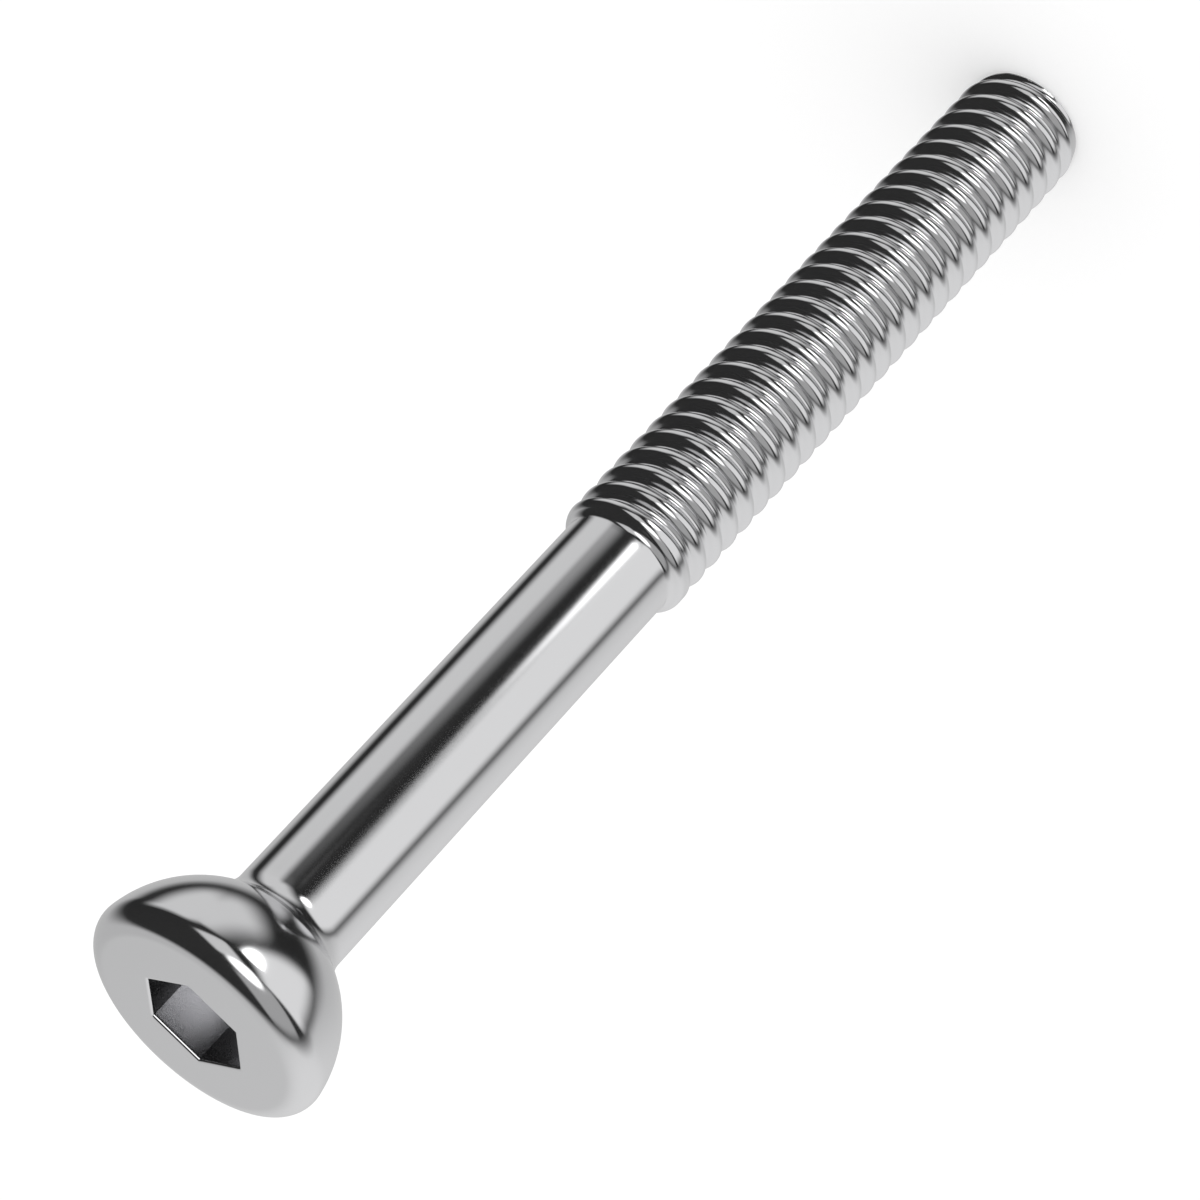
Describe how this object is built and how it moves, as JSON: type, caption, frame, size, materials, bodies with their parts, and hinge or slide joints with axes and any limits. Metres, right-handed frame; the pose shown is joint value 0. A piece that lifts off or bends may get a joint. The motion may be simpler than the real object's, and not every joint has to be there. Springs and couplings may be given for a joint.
{
  "type": "bolt",
  "caption": "Long steel bolt with a flat-topped domed head, a hexagon socket, a plain shank and a threaded end with a chamfered tip.",
  "frame": {"origin": "centre of the tip's flat end face, on the bolt's axis", "axes": "+Z along the axis from the tip to the head, so the bolt stands on its threaded end with its socket facing up; a corner of the hexagon socket lies on +X"},
  "size_m": [0.0114, 0.0114, 0.0645],
  "materials": {
    "plated_steel": "bright plated, smooth and glossy"
  },
  "bodies": {
    "root": {"bolt": "plated_steel"}
  },
  "joints": []
}
